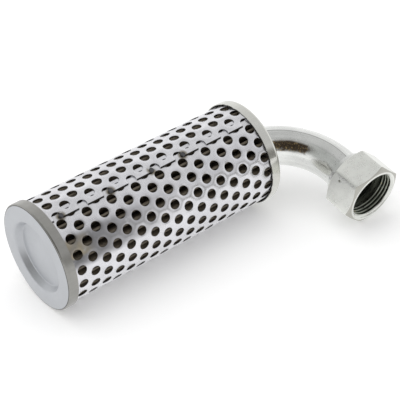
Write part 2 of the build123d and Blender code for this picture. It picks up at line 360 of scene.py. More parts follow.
class FilterSizes(bpy.types.PropertyGroup):
    hole_width: bpy.props.FloatProperty(
        name="Hole width", description="Width of each hole in the guard",
        default=5.0 * MM, unit="LENGTH")
    hole_pitch: bpy.props.FloatProperty(
        name="Hole pitch", description="Distance between neighbouring holes",
        default=8.0 * MM, unit="LENGTH")
    hole_rollover: bpy.props.FloatProperty(
        name="Hole rollover", description="How far the punched edge of a hole is drawn in",
        default=0.1 * MM, unit="LENGTH")
    guard_radius: bpy.props.FloatProperty(
        name="Guard radius", description="Outer radius of the rolled sheet",
        default=26.0 * MM, unit="LENGTH")
    guard_sheet: bpy.props.FloatProperty(
        name="Guard sheet", description="Thickness of the perforated sheet",
        default=0.5 * MM, unit="LENGTH")
    pleat_count: bpy.props.IntProperty(
        name="Pleats", description="Number of pleats in the mesh", default=36, min=3)
    thread_pitch: bpy.props.FloatProperty(
        name="Thread pitch", description="Distance between the turns of the nut's thread",
        default=25.4 / 14 * MM, unit="LENGTH")
    thread_minor: bpy.props.FloatProperty(
        name="Thread minor radius", description="Radius at the crests of the thread",
        default=12.06 * MM, unit="LENGTH")
    thread_major: bpy.props.FloatProperty(
        name="Thread major radius", description="Radius at the roots of the thread",
        default=13.22 * MM, unit="LENGTH")
    across_flats: bpy.props.FloatProperty(
        name="Across flats", description="Width of the nut across its flats",
        default=30.0 * MM, unit="LENGTH")


def colour_property(name, description, default):
    return bpy.props.FloatVectorProperty(
        name=name, description=description, default=default, subtype="COLOR", min=0, max=1)


class FilterColours(bpy.types.PropertyGroup):
    guard: colour_property("Guard", "Rolled and plated sheet", (0.78, 0.78, 0.81))
    stain: colour_property("Stain", "Tarnish on the guard beside the blind cap", (0.42, 0.36, 0.24))
    cap_face: colour_property("Cap face", "Satin face of the blind cap", (0.54, 0.555, 0.58))
    cap_rim: colour_property("Cap rim", "Dull rim of the blind cap", (0.38, 0.375, 0.355))
    open_cap: colour_property("Open cap", "Plated cap round the tube", (0.70, 0.70, 0.66))
    tarnish: colour_property("Tarnish", "Dark patch inside the tube's bend", (0.13, 0.10, 0.07))
    tube: colour_property("Tube", "Bright plated tube", (0.80, 0.81, 0.79))
    nut: colour_property("Nut", "Satin plated nut", (0.80, 0.81, 0.77))
    mesh: colour_property("Mesh", "Woven wire over its fold tips", (0.17, 0.145, 0.11))
    resin: colour_property("Resin", "Cast resin rings", (0.05, 0.045, 0.04))
    weld: colour_property("Weld", "Scaled tack welds", (0.085, 0.085, 0.09))
    bead: colour_property("Bead", "Bead and braze round the tube", (0.34, 0.33, 0.31))


def rolled_zinc(colour, stain, scorch_places):
    """Satin sheet with smudges, scorched round its welds and tarnished beside the blind cap, with a painted
    reflection band and a line of painted shadow and grime by the seam.
    """
    finish = Finish("rolled_zinc")
    x, up, over = finish.parts(finish.centred(AXIS))
    turned = (up * -1).math("ARCTAN2", over)
    cloud = finish.noise(38, 3, 0.55)
    smudge = finish.noise(170, 4, 0.62)
    grain = finish.noise(2600, 2, 0.5)
    scratch = finish.noise(900, 3, 0.6, (0.06, 1.0, 1.0))
    # Painted reflection: a dark band round part of the sheet, fading out along it; the gilt tint inside it is
    # tarnish
    patch = turned.band(*REFLECTION_BAND_ROUND, radians(10))
    patch = patch * (1 - x.between(*REFLECTION_BAND_ALONG)) * smudge.between(0.15, 0.48)
    gilt = patch * (1 - x.between(*GILT_ALONG)) * turned.band(*GILT_ROUND, radians(5))
    tone = cloud * 0.4 + smudge * 0.4 + grain * 0.2
    clean = finish.mix(tone.between(0.3, 0.7), shade(colour, 0.84), shade(colour, 1.08))
    with_painted_reflection = finish.mix(patch, clean, shade(colour, 0.32))
    tinted = finish.mix(gilt * cloud.between(0.3, 0.5), with_painted_reflection, stain)
    scorch = finish.near(scorch_places, *SCORCH_REACH) * smudge.between(0.28, 0.50)
    burnt = finish.mix(scorch * 0.9, tinted, shade(stain, 0.42))
    # Painted shadow and grime: a dark line on the layer below the outer layer's cut edge, between its scallops
    row = (x - FIRST_ROW + ROW_STEP / 2) % ROW_STEP - ROW_STEP / 2
    line = turned.band(SEAM_ANGLE - radians(0.2), SEAM_ANGLE + radians(0.9), radians(0.3))
    line = line * row.math("ABSOLUTE").between(SCALLOP_REACH, SCALLOP_REACH + 0.2 * MM)
    finish.set(Base_Color=finish.mix(line * 0.88, burnt, SEAM_SHADOW_AND_GRIME), Metallic=0.9,
               Roughness=0.21 + smudge * 0.12 + scratch.between(0.55, 0.75) * 0.08 + patch * 0.12)
    finish.bump(cloud * 0.8 + smudge * 0.6 + grain * 0.02, 0.16, 0.00010)
    return finish.material


def cap_metal(name, face_colour, rim_colour, wear, gloss, shadow):
    """A pressed cap: its face and its rim, worn along the rim, with painted shade where the given mask says: where
    it meets the guard, or in a thin line round its face.
    """
    finish = Finish(name)
    x, up, over = finish.parts(finish.centred(AXIS))
    radius = (up * up + over * over) ** 0.5
    fine = finish.noise(1500, 3, 0.6)
    cloud = finish.noise(70, 3, 0.55)
    drawn = finish.noise(420, 4, 0.6, (0.12, 1.0, 1.0))
    face = 1 - radius.between(CAP_FACE_REACH, CAP_FACE_REACH + 0.2 * MM)
    # Painted shade from the given mask, darker and less metallic there
    dark = shadow(x, radius)
    base = finish.mix(face, rim_colour, face_colour)
    worn = (cloud * 0.5 + drawn * 0.3 + fine * 0.2).between(0.30, 0.75)
    toned = finish.mix(worn * wear * (1 - face * 0.8), base, shade(rim_colour, 0.6))
    finish.set(Base_Color=finish.mix(dark, toned, GAP_SHADE),
               Metallic=(0.93 - face * 0.12) * (1 - dark * 0.7),
               Roughness=gloss + face * 0.14 + fine * 0.06 + cloud * 0.06)
    finish.bump(fine * 0.25 + cloud + drawn * 0.5, 0.14, 0.00008)
    return finish.material


def painted_shade_round_face(x, radius):
    """Painted shade: the thin dark line between the blind cap's face and its rim."""
    return radius.band(*RIM_LINE, 0.12 * MM) * (1 - x.between(*RIM_LINE_ALONG)) * 0.8


def painted_shade_inside_rim(x, radius):
    """Painted shade on the open cap's inner wall, which stands clear of the guard."""
    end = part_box("open_end_cap")[1].x - AXIS.x
    return (1 - radius.between(*RIM_WALL)) * (1 - x.between(end - 1.2 * MM, end - MM))


def bright_zinc(colour, tarnish):
    """Plated tube: bright, with bending marks along it, a tarnished patch inside its bend, and a painted
    reflection band and line running along it.
    """
    finish = Finish("bright_zinc")
    x, up, over = finish.parts(finish.centred(BEND_CENTRE))
    around = x.math("ARCTAN2", over * -1)
    out = (x * x + over * over) ** 0.5 - BEND_RADIUS
    turned = (up * -1).math("ARCTAN2", out)
    lane = finish.add("ShaderNodeCombineXYZ", None,
                      {"X": out, "Y": up, "Z": around * (BEND_RADIUS * 0.07)})
    drawn = finish.noise(520, 4, 0.6, vector=lane)
    patch = finish.noise(95, 3, 0.55)
    pits = finish.noise(1100, 2, 0.5)
    mottle = finish.noise(1250, 4, 0.7)
    edge = (patch - 0.5) * radians(40)
    dark = (around + edge).band(*TARNISH_BEND, radians(4))
    dark = dark * (turned + edge * 0.3).band(*TARNISH_ROUND, radians(5))
    dark = dark * (mottle * 0.6 + drawn * 0.4).between(0.33, 0.47)
    gilt = dark * (mottle * 0.5 + pits * 0.5).between(0.55, 0.60)
    # Painted reflection: a thin dark line and a darker band at fixed angles round the tube, all along it
    seam = turned.band(*TUBE_REFLECTED_LINE, radians(1.5)) * drawn.between(0.25, 0.45)
    shaded = turned.band(*TUBE_REFLECTED_BAND, radians(4)) * 0.35 + seam * 0.55
    plated = finish.mix((drawn * 0.5 + patch * 0.5).between(0.34, 0.66),
                        shade(colour, 0.88), shade(colour, 1.08))
    plated = finish.mix(shaded, plated, shade(colour, 0.4))
    spotted = finish.mix(pits.between(0.67, 0.72) * 0.5, plated, shade(colour, 0.35))
    tarnished = finish.mix(dark, spotted, tarnish)
    finish.set(Base_Color=finish.mix(gilt, tarnished, TUBE_GILT), Metallic=0.95,
               Roughness=0.08 + patch * 0.10 + drawn * 0.05 + dark * 0.25)
    finish.bump(patch * 1.0 + drawn * 0.22 + mottle * 0.16, 0.20, 0.00010)
    return finish.material


def satin_zinc(colour, bore_reach, face_reach):
    """The nut: satin outside; its bore painted dark as shade, with a green cast, painted light on its thread
    crests and a few gilt specks that are passivation and painted highlight.
    """
    finish = Finish("satin_zinc")
    across, over, along = finish.parts(finish.centred(PORT_ORIGIN))
    radius = (across * across + over * over) ** 0.5
    # Painted shade in the bore, fading out towards the mouth
    inside = 1 - radius.between(bore_reach - 0.1 * MM, bore_reach + 0.15 * MM)
    painted_shade_depth = inside * (1 - along.between(*MOUTH_SHADE_FADE))
    fine = finish.noise(1300, 4, 0.6)
    patch = finish.noise(160, 3, 0.55)
    nick = finish.noise(480, 2, 0.5)
    tone = (fine * 0.25 + patch * 0.75).between(0.3, 0.7)
    outside = finish.mix(tone, shade(colour, 0.90), shade(colour, 1.06))
    nicked = finish.mix(nick.between(0.70, 0.74) * 0.5, outside, shade(colour, 0.5))
    # The turned cone at each end of the hexagon is duller than its flats
    past = radius - face_reach
    cone = (past * CHAMFER_SLOPE - NUT_FRONT + along).math("ABSOLUTE")
    cone = (1 - cone.between(0.05 * MM, 0.12 * MM)) * past.between(0.05 * MM, 0.15 * MM)
    nicked = finish.mix(cone * 0.8, nicked, CONE_DULL)
    # Painted light on the thread crests and painted shade in the roots; the gilt specks are passivation with a
    # painted highlight
    crest = 1 - radius.between(bore_reach - 1.1 * MM, bore_reach - 0.5 * MM)
    steel = finish.mix(crest, BORE_ROOT_SHADE, BORE_CREST_LIGHT)
    bore = finish.mix((patch * 0.5 + nick * 0.5).between(0.60, 0.64), steel, BORE_GILT_HIGHLIGHT)
    finish.set(Base_Color=finish.mix(painted_shade_depth, nicked, bore), Metallic=0.92,
               Roughness=0.20 + patch * 0.12 + fine * 0.05 + cone * 0.12)
    finish.bump(fine * 0.1 + patch, 0.14, 0.00008)
    return finish.material


def turned_nipple(colour):
    """The nipple: bright behind the nut, and painted dark as shade, with turned rings, where the bore shows it."""
    finish = Finish("turned_nipple")
    along = finish.parts(finish.centred(PORT_ORIGIN))[2]
    painted_shade_depth = along.between(NUT_BACK, NUT_BACK + MM)
    patch = finish.noise(160, 3, 0.55)
    rings = (along * (2 * pi / RING_PITCH)).math("SINE") * 0.5 + 0.5
    # Painted shade where the bore shows the nipple; the turned rings in it are real
    dark = finish.mix(rings, RING_SHADE_LOW, RING_SHADE_HIGH)
    bright = finish.mix(patch, shade(colour, 0.86), shade(colour, 1.05))
    finish.set(Base_Color=finish.mix(painted_shade_depth, bright, dark), Metallic=0.92,
               Roughness=0.14 + patch * 0.12)
    finish.bump(patch + rings * painted_shade_depth, 0.20, 0.00010)
    return finish.material


def woven_mesh(colour, valley_radius, tip_radius):
    """Fine wire cloth, with painted shade: lighter where its folds reach the guard and darker towards the valleys.
    """
    finish = Finish("woven_mesh")
    x, y, z = finish.parts(finish.centred(AXIS))
    radius = (y * y + z * z) ** 0.5
    tip = radius.between(tip_radius - 1.1 * MM, tip_radius - 0.05 * MM)
    depth = radius.between(valley_radius, tip_radius - 0.8 * MM)
    wires = (x * (2 * pi / WIRE_SPACING)).math("SINE") * 0.5 + 0.5
    grime = finish.noise(240, 4, 0.6)
    # Painted shade: the fold walls darken towards the valleys; grime varies the tips
    wall = finish.mix(depth, shade(colour, 0.9), shade(colour, 1.3))
    crest = finish.mix(grime, shade(colour, 0.55), shade(colour, 1.15))
    finish.set(Base_Color=finish.mix(tip, wall, crest), Metallic=0.35,
               Roughness=0.6 + grime * 0.2)
    finish.bump(wires + grime * 0.4, 0.35, 0.00006)
    return finish.material


def plain_finish(name, colour, metallic, roughness, grain, lift):
    """A grained finish for what hardly shows: resin, core tube, weld and wire."""
    finish = Finish(name)
    fine = finish.noise(grain, 5, 0.65)
    patch = finish.noise(grain / 6, 2, 0.5)
    tone = fine * 0.5 + patch * 0.5
    finish.set(Base_Color=finish.mix(tone, shade(colour, 0.6), shade(colour, 1.5)),
               Metallic=metallic, Roughness=roughness + fine * 0.2)
    finish.bump(fine, 0.5, lift)
    return finish.material


def link_piece(name, mesh):
    piece = bpy.data.objects.new(name, mesh)
    bpy.context.scene.collection.objects.link(piece)
    return piece


def applied(piece):
    """Turns a piece with its modifiers into a plain mesh."""
    graph = bpy.context.evaluated_depsgraph_get()
    mesh = bpy.data.meshes.new_from_object(piece.evaluated_get(graph))
    piece.modifiers.clear()
    piece.data = mesh
    return piece


def smooth(piece, crease=32):
    piece.data.shade_smooth()
    piece.data.set_sharp_from_angle(angle=radians(crease))


def settle(piece, material, *nodes):
    """Gives a piece its finish and its body, and hides the solids that it stands for."""
    piece.data.materials.clear()
    piece.data.materials.append(material)
    bodies = frame["record"]["behaviour"]["bodies"]
    body = next(name for name, members in bodies.items() if nodes[0] in members)
    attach(piece, body)
    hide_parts(*nodes)


def dress(node, material, crease=32):
    """A merged, smoothly shaded copy of a solid stands for it."""
    mesh = frame["nodes"][node].data.copy()
    work = bmesh.new()
    work.from_mesh(mesh)
    bmesh.ops.remove_doubles(work, verts=work.verts, dist=SOLID_MERGE)
    work.to_mesh(mesh)
    work.free()
    piece = link_piece(node + "_finished", mesh)
    smooth(piece, crease)
    weighted = piece.modifiers.new("weighted", "WEIGHTED_NORMAL")
    weighted.keep_sharp = True
    applied(piece)
    settle(piece, material, node)
    return piece


def geometry_tree(name, inputs):
    """A Geometry Nodes tree with named inputs, and a signal for each of them."""
    tree = bpy.data.node_groups.new(name, "GeometryNodeTree")
    tree.interface.new_socket("Geometry", in_out="OUTPUT", socket_type="NodeSocketGeometry")
    for label, kind in inputs:
        tree.interface.new_socket(label, in_out="INPUT", socket_type="NodeSocket" + kind)
    maker = Tree(tree)
    entry = tree.nodes.new("NodeGroupInput")
    return maker, {label: Signal(maker, entry.outputs[label]) for label, _ in inputs}


def run_tree(maker, shape, material, values):
    """Ends the tree, runs it on an empty piece and keeps the plain mesh."""
    real = maker.add("GeometryNodeRealizeInstances", None, {"Geometry": shape})
    done = maker.add("GeometryNodeSetMaterial", None, {"Geometry": real, "Material": material})
    exit_node = maker.tree.nodes.new("NodeGroupOutput")
    maker.feed(exit_node.inputs["Geometry"], done)
    piece = link_piece(maker.tree.name, bpy.data.meshes.new(maker.tree.name))
    modifier = piece.modifiers.new("build", "NODES")
    modifier.node_group = maker.tree
    for item in maker.tree.interface.items_tree:
        if item.in_out == "INPUT":
            modifier[item.identifier] = values[item.name]
    return applied(piece)


def position(maker):
    """Where each point of a shape lies, by its X, Y and Z."""
    return maker.add("ShaderNodeSeparateXYZ", None, {"Vector": maker.add("GeometryNodeInputPosition")})


def grid_share(maker, around, along):
    """A grid whose two positions run from 0 to 1."""
    values = {"Size X": 1.0, "Size Y": 1.0, "Vertices X": around, "Vertices Y": along}
    grid = maker.add("GeometryNodeMeshGrid", None, values)
    split = position(maker)
    return grid, split.output("X") + 0.5, split.output("Y") + 0.5


def placed(maker, shape, x, y, z):
    point = maker.add("ShaderNodeCombineXYZ", None, {"X": x, "Y": y, "Z": z})
    return maker.add("GeometryNodeSetPosition", None, {"Geometry": shape, "Position": point})


def welded(maker, shape):
    return maker.add("GeometryNodeMergeByDistance", None, {"Geometry": shape, "Distance": TREE_MERGE})


def perforated_sheet(sizes, material):
    """A flat sheet of six-sided cells, with a round hole in each one but those at its ends."""
    inputs = [("Hole width", "Float"), ("Hole pitch", "Float"), ("Rollover", "Float"),
              ("Columns", "Int"), ("Rows", "Int"), ("First row", "Float"), ("Last hole", "Float")]
    maker, given = geometry_tree("perforated_sheet", inputs)
    pitch = given["Hole pitch"]
    grid, turn, ring = grid_share(maker, RIM_SIDES + 1, 3)
    side = (turn * 6 % 1.0 - 0.5) * radians(60)
    edge = pitch * 0.5 / side.math("COSINE")
    rim = given["Hole width"] * 0.5
    first = ring < 0.25
    last = ring > 0.75
    reach = rim + (1 - first) * (1 - last) * given["Rollover"] * 1.5 + last * (edge - rim)
    angle = turn * (2 * pi) + radians(30)
    cell = placed(maker, grid, angle.math("COSINE") * reach, angle.math("SINE") * reach,
                  first * given["Rollover"] * -1)
    cell = welded(maker, cell)
    disc = maker.add("GeometryNodeMeshCircle", {"fill_type": "TRIANGLE_FAN"},
                     {"Vertices": RIM_SIDES, "Radius": 1.0})
    spot = position(maker)
    spin = spot.output("Y").math("ARCTAN2", spot.output("X"))
    share = (spin / radians(60) + 6) % 1.0 - 0.5
    far = (spot.output("X") * spot.output("X") + spot.output("Y") * spot.output("Y")) ** 0.5
    out = pitch * 0.5 / (share * radians(60)).math("COSINE") * far
    bearing = spin + radians(30)
    plain = placed(maker, disc, bearing.math("COSINE") * out, bearing.math("SINE") * out, 0.0)
    columns, rows = given["Columns"], given["Rows"]
    lattice = maker.add("GeometryNodeMeshGrid", None, {
        "Size X": columns - 1, "Size Y": rows - 1, "Vertices X": columns, "Vertices Y": rows})
    node = position(maker)
    column = (node.output("X") + (columns - 1) * 0.5).math("ROUND")
    row = (node.output("Y") + (rows - 1) * 0.5).math("ROUND")
    row_step = pitch * 3 ** 0.5
    # Column 0 of the lattice lies one column before the first column of holes
    odd = 1 - column % 2.0
    x = given["First row"] + row * row_step - odd * row_step * 0.5
    points = placed(maker, lattice, (column - 1) * pitch * 0.5, x, 0.0)
    x_now = position(maker)
    inside = (x_now.output("Y") > given["First row"] - MM) * (x_now.output("Y") < given["Last hole"])
    inside = inside * (x_now.output("X") > pitch * -0.25)
    inside = inside * (x_now.output("X") < (columns - 2.5) * pitch * 0.5)
    holed = maker.add("GeometryNodeInstanceOnPoints", None,
                      {"Points": points, "Instance": cell, "Selection": inside})
    solid = maker.add("GeometryNodeInstanceOnPoints", None,
                      {"Points": points, "Instance": plain, "Selection": 1 - inside})
    joined = maker.tree.nodes.new("GeometryNodeJoinGeometry")
    maker.tree.links.new(solid.socket, joined.inputs[0])
    maker.tree.links.new(holed.socket, joined.inputs[0])
    real = maker.add("GeometryNodeRealizeInstances", None,
                     {"Geometry": Signal(maker, joined.outputs[0])})
    guard_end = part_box("perforated_guard")[1].x - AXIS.x
    values = {"Hole width": sizes.hole_width, "Hole pitch": sizes.hole_pitch,
              "Rollover": sizes.hole_rollover, "Columns": COLUMNS_ROUND + 4, "Rows": ROWS,
              "First row": FIRST_ROW, "Last hole": guard_end - sizes.hole_width}
    return run_tree(maker, welded(maker, real), material, values)


def roll(piece, sizes):
    """Trims the flat sheet to its four edges and rolls it round the filter, lapped at the seam."""
    low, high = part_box("perforated_guard")
    half_pitch = sizes.hole_pitch / 2
    start_column = (SHEET_START - FIRST_COLUMN) / COLUMN_STEP
    end_column = (SHEET_END - FIRST_COLUMN) / COLUMN_STEP
    edges = [((start_column * half_pitch, 0, 0), (-1, 0, 0)),
             ((end_column * half_pitch, 0, 0), (1, 0, 0)),
             ((0, low.x - AXIS.x, 0), (0, -1, 0)),
             ((0, high.x - AXIS.x, 0), (0, 1, 0))]
    work = bmesh.new()
    work.from_mesh(piece.data)
    for place, outward in edges:
        everything = work.verts[:] + work.edges[:] + work.faces[:]
        bmesh.ops.bisect_plane(work, geom=everything, plane_co=place, plane_no=outward,
                               clear_outer=True, dist=TRIM_TOLERANCE)
    bmesh.ops.recalc_face_normals(work, faces=work.faces)
    if sum(face.normal.z for face in work.faces) < 0:
        bmesh.ops.reverse_faces(work, faces=work.faces)
    for vert in work.verts:
        column = vert.co.x / half_pitch
        ramp = min(max(column - LAP_RAMP_START, 0), 1)
        radius = sizes.guard_radius + vert.co.z + LAP_LIFT * ramp * ramp * (3 - 2 * ramp)
        angle = FIRST_COLUMN + column * COLUMN_STEP
        outward = PORT * cos(angle) + DOWN * sin(angle)
        vert.co = AXIS + ALONG * vert.co.y + outward * radius
    work.to_mesh(piece.data)
    work.free()


def pleats(sizes, material):
    """Folds round the core, with rounded tips and valleys."""
    low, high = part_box("pleated_mesh")
    tip = (high.z - low.z) / 2 - TIP_CLEARANCE
    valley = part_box("core_tube")[1].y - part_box("core_tube")[0].y
    valley = valley / 2 + CORE_CLEARANCE
    inputs = [("Pleats", "Int"), ("Steps", "Int"), ("Tip radius", "Float"),
              ("Valley radius", "Float"), ("Length", "Float")]
    maker, given = geometry_tree("folded_mesh", inputs)
    grid, turn, along = grid_share(maker, given["Pleats"] * given["Steps"] + 1, PLEAT_ROWS)
    fold = (turn * given["Pleats"] * (2 * pi)).math("COSINE") * 0.8 + 0.5
    fold = fold.between(-0.12, 1.12)
    radius = given["Valley radius"] + fold * (given["Tip radius"] - given["Valley radius"])
    angle = turn * (2 * pi)
    shape = placed(maker, grid, along * given["Length"], angle.math("COSINE") * radius,
                   angle.math("SINE") * radius)
    values = {"Pleats": sizes.pleat_count, "Steps": PLEAT_STEPS, "Tip radius": tip,
              "Valley radius": valley, "Length": high.x - low.x}
    piece = run_tree(maker, welded(maker, shape), material, values)
    onto_filter = Matrix((ALONG, PORT, DOWN)).transposed().to_4x4()
    onto_filter.translation = Vector((low.x, AXIS.y, AXIS.z))
    piece.data.transform(onto_filter)
    return piece


def six_sided(angle, apothem):
    """Radius of the nut's outline, with its corners slightly rounded."""
    share = ((angle + NUT_TURN) / (2 * pi) * NUT_SIDES) % 1 - 0.5
    radius = apothem / cos(share * 2 * pi / NUT_SIDES)
    corner = apothem / cos(pi / NUT_SIDES)
    return radius - max(0.0, radius - (corner - 2 * EDGE_ROUND)) * CORNER_EASE


def nut_rows(sizes):
    """The nut's outside and back, row by row from the mouth to the relief groove."""
    apothem = sizes.across_flats / 2
    face = apothem * FACE_SHARE
    mouth = sizes.thread_minor + MOUTH_CHAMFER

    def drop(angle):
        return (six_sided(angle, apothem) - face) * CHAMFER_SLOPE

    def edge(angle):
        return six_sided(angle, apothem)

    def plain(radius, place):
        return lambda angle: (radius, place)

    rows = [plain(mouth, NUT_FRONT), plain(face - EDGE_ROUND, NUT_FRONT),
            plain(face, NUT_FRONT - 0.1 * EDGE_ROUND)]
    for share in CONE_SHARES:
        rows.append(lambda angle, t=share: (face + (edge(angle) - face) * t,
                                            NUT_FRONT - drop(angle) * t))
    for place in FLAT_SHARES:
        rows.append(lambda angle, t=place: (
            edge(angle) - (EDGE_ROUND * 0.15 if t in (0.0, 1.0) else 0),
            (NUT_FRONT - drop(angle)) * (1 - t) + (NUT_BACK + drop(angle)) * t))
    for share in reversed(CONE_SHARES):
        rows.append(lambda angle, t=share: (face + (edge(angle) - face) * t,
                                            NUT_BACK + drop(angle) * t))
    rows += [plain(face, NUT_BACK + 0.1 * EDGE_ROUND), plain(face - EDGE_ROUND, NUT_BACK),
             plain(NUT_BORE + BACK_CHAMFER, NUT_BACK), plain(NUT_BORE, NUT_BACK + BACK_CHAMFER),
             plain(NUT_BORE, RELIEF_START), plain(sizes.thread_major, RELIEF_START),
             plain(sizes.thread_major, THREAD_START)]
    return rows


def port_point(radius, angle, place):
    """A point round the port's axis, with its angle measured from DOWN towards ALONG."""
    return PORT_ORIGIN + PORT * place + (DOWN * cos(angle) + ALONG * sin(angle)) * radius


def nut_shell(sizes):
    work = bmesh.new()
    rings = []
    for row in nut_rows(sizes):
        ring = []
        for step in range(NUT_STEPS):
            angle = 2 * pi * step / NUT_STEPS
            ring.append(work.verts.new(port_point(row(angle)[0], angle, row(angle)[1])))
        rings.append(ring)
    for near, far in zip(rings, rings[1:]):
        for step in range(NUT_STEPS):
            after = (step + 1) % NUT_STEPS
            work.faces.new((near[step], near[after], far[after], far[step]))
    mesh = bpy.data.meshes.new("nut_shell")
    work.to_mesh(mesh)
    work.free()
    return link_piece("nut_shell", mesh)


def thread(sizes, material):
    """The bore's helical wall, from the relief groove out to the mouth."""
    inputs = [("Minor radius", "Float"), ("Major radius", "Float"), ("Pitch", "Float"),
              ("Start", "Float"), ("End", "Float"), ("Mouth", "Float"), ("Rows", "Int")]
    maker, given = geometry_tree("nut_thread", inputs)
    grid, turn, along = grid_share(maker, NUT_STEPS + 1, given["Rows"])
    start, end = given["Start"], given["End"]
    place = start + along * (end - start)
    depth = given["Major radius"] - given["Minor radius"]
    wave = ((place / given["Pitch"] - turn) * (2 * pi)).math("COSINE") * 0.5 + 0.5
    lead = (place - start) / (given["Pitch"] * 0.5)
    fade = 1 - lead.math("MINIMUM", 1.0)
    hollow = given["Minor radius"] + depth * wave.math("MAXIMUM", fade)
    chamfer = given["Mouth"] - (end - place)
    radius = hollow.math("MAXIMUM", chamfer)
    settled = along.between(0.999, 1.0)
    radius = radius * (1 - settled) + given["Mouth"] * settled
    angle = turn * (2 * pi)
    shape = placed(maker, grid, angle.math("COSINE") * radius, angle.math("SINE") * radius, place)
    rows = round((NUT_FRONT - THREAD_START) / sizes.thread_pitch * TURN_STEPS)
    values = {"Minor radius": sizes.thread_minor, "Major radius": sizes.thread_major,
              "Pitch": sizes.thread_pitch, "Start": THREAD_START, "End": NUT_FRONT,
              "Mouth": sizes.thread_minor + MOUTH_CHAMFER, "Rows": rows}
    piece = run_tree(maker, welded(maker, shape), material, values)
    onto_port = Matrix((DOWN, ALONG, PORT)).transposed().to_4x4()
    onto_port.translation = PORT_ORIGIN
    piece.data.transform(onto_port)
    return piece


def joined(piece, other):
    """Welds another mesh into a piece, with every face pointing out."""
    work = bmesh.new()
    work.from_mesh(piece.data)
    work.from_mesh(other.data)
    bmesh.ops.remove_doubles(work, verts=work.verts, dist=NUT_MERGE)
    bmesh.ops.recalc_face_normals(work, faces=work.faces)
    work.to_mesh(piece.data)
    work.free()
    bpy.data.objects.remove(other)
    return piece


def drill_wire_hole(piece, sizes):
    angle = (2 * WIRE_HOLE_FLAT + 1) * pi / NUT_SIDES - NUT_TURN
    outward = DOWN * cos(angle) + ALONG * sin(angle)
    beside = outward.cross(PORT)
    centre = PORT_ORIGIN + PORT * WIRE_PLACE + outward * sizes.across_flats / 2
    centre += beside * WIRE_HOLE_OFFSET
    work = bmesh.new()
    bmesh.ops.create_cone(work, cap_ends=True, segments=24, radius1=WIRE_HOLE_RADIUS,
                          radius2=WIRE_HOLE_RADIUS, depth=2 * WIRE_HOLE_DEPTH)
    place = Matrix((PORT, beside, outward)).transposed().to_4x4()
    place.translation = centre
    bmesh.ops.transform(work, matrix=place, verts=work.verts)
    bmesh.ops.recalc_face_normals(work, faces=work.faces)
    mesh = bpy.data.meshes.new("wire_drill")
    work.to_mesh(mesh)
    work.free()
    drill = link_piece("wire_drill", mesh)
    cut = piece.modifiers.new("wire hole", "BOOLEAN")
    cut.operation = "DIFFERENCE"
    cut.solver = "EXACT"
    cut.object = drill
    applied(piece)
    bpy.data.objects.remove(drill)


def weld_places():
    """The middle of each tack weld. They stand well apart along the filter."""
    corners = frame["nodes"]["guard_tack_welds"].data.vertices
    points = sorted((corner.co.copy() for corner in corners), key=lambda point: point.x)
    spots = [[points[0]]]
    for before, point in zip(points, points[1:]):
        if point.x - before.x > WELD_SPACING:
            spots.append([])
        spots[-1].append(point)
    return [sum(spot, Vector()) / len(spot) for spot in spots]


def lumpy(piece, box):
    """Pushes a weld's surface in and out within its box, so that it looks run and frozen."""
    low, high = box
    work = bmesh.new()
    work.from_mesh(piece.data)
    bmesh.ops.remove_doubles(work, verts=work.verts, dist=SOLID_MERGE)
    bmesh.ops.triangulate(work, faces=work.faces)
    bmesh.ops.subdivide_edges(work, edges=work.edges, cuts=2, use_grid_fill=True)
    work.normal_update()
    for vert in work.verts:
        lift = noise.noise(vert.co * WELD_GRAIN) + 0.5 * noise.noise(vert.co * WELD_GRAIN * 2.3)
        moved = vert.co + vert.normal * lift * WELD_LUMP
        vert.co = Vector(min(max(m, lo), hi) for m, lo, hi in zip(moved, low, high))
    work.to_mesh(piece.data)
    work.free()
    smooth(piece, 60)


class FILTER_OT_guard(bpy.types.Operator):
    """Perforated sheet, rolled with a lapped seam"""
    bl_idname = "filter.guard"
    bl_label = "Guard"

    def execute(self, context):
        sizes = context.scene.filter_sizes
        colours = context.scene.filter_colours
        metal = rolled_zinc(colours.guard, colours.stain, weld_places())
        piece = perforated_sheet(sizes, metal)
        roll(piece, sizes)
        thickness = piece.modifiers.new("sheet", "SOLIDIFY")
        thickness.thickness = sizes.guard_sheet
        thickness.offset = -1
        applied(piece)
        smooth(piece, 40)
        piece.name = "rolled_guard"
        settle(piece, metal, "perforated_guard")
        return {"FINISHED"}


class FILTER_OT_welds(bpy.types.Operator):
    """Tack welds of the seam, and the beads of the tube"""
    bl_idname = "filter.welds"
    bl_label = "Welds"

    def execute(self, context):
        scale = plain_finish("weld_scale", context.scene.filter_colours.weld,
                             0.8, 0.22, 1100, 0.0004)
        bead = plain_finish("weld_bead", context.scene.filter_colours.bead,
                            0.85, 0.24, 500, 0.0003)
        lumpy(dress("guard_tack_welds", scale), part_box("guard_tack_welds"))
        lumpy(dress("elbow_weld_bead", bead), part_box("elbow_weld_bead"))
        dress("nipple_braze", bead)
        return {"FINISHED"}


class FILTER_OT_caps(bpy.types.Operator):
    """Pressed caps at both ends"""
    bl_idname = "filter.caps"
    bl_label = "End caps"

    def execute(self, context):
        colours = context.scene.filter_colours
        dress("blind_end_cap", cap_metal("blind_cap", colours.cap_face, colours.cap_rim,
                                         0.55, 0.24, painted_shade_round_face))
        dress("open_end_cap", cap_metal("open_cap", colours.open_cap, colours.open_cap,
                                        0.25, 0.08, painted_shade_inside_rim))
        return {"FINISHED"}


